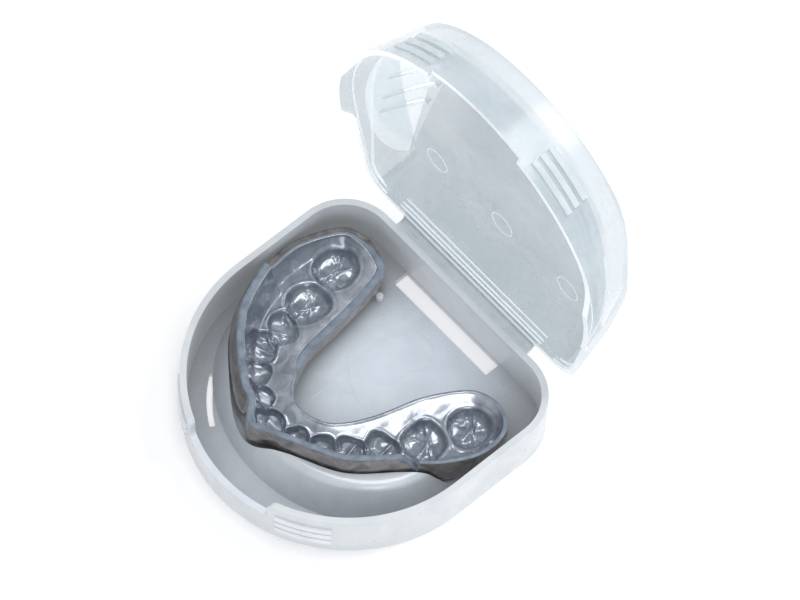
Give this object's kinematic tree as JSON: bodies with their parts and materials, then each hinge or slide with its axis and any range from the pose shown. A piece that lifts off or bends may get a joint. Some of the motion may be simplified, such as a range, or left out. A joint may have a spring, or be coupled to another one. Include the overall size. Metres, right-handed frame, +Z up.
{
  "type": "mouthguard with case",
  "caption": "laminated mouthguard with tooth impressions lying in a small hinged case, whose lid turns on a living hinge",
  "frame": {"origin": "centre of the case's flat underside, under the centre of its round front", "axes": "+Z up, +X across the case, +Y towards the hinge, -Y towards the thumb notch; the lid stands open"},
  "size_m": [0.0844, 0.0887, 0.0918],
  "materials": {
    "case_base": "translucent frosted polypropylene",
    "case_lid": "clear, slightly milky polypropylene",
    "hinge_plastic": "thin polypropylene, whitened by bending",
    "guard_outer": "glossy smoke-clear laminate",
    "guard_inner": "glossy clear laminate"
  },
  "bodies": {
    "base": {"base_shell": "case_base", "arch_support": "case_base", "floor_peg": "case_base", "base_grip_bars": "case_base", "base_hinge_leaf": "case_base", "hinge_web": "hinge_plastic"},
    "lid": {"lid_shell": "case_lid", "lid_grip_ribs": "case_lid", "lid_hinge_leaf": "case_lid"},
    "mouthguard": {"guard_outer_layer": "guard_outer", "guard_inner_layer": "guard_inner"}
  },
  "joints": [
    {"name": "lid_hinge", "type": "hinge", "parent": "base", "child": "lid", "pos_m": [0, 0.0358, 0.0134], "axis": [-1, 0, 0], "range_deg": [-88.5, 88], "deforming": ["hinge_web"]},
    {"name": "guard_lift", "type": "slide", "parent": "base", "child": "mouthguard", "axis": [0, 0, 1], "range_m": [0, 0.1]}
  ]
}
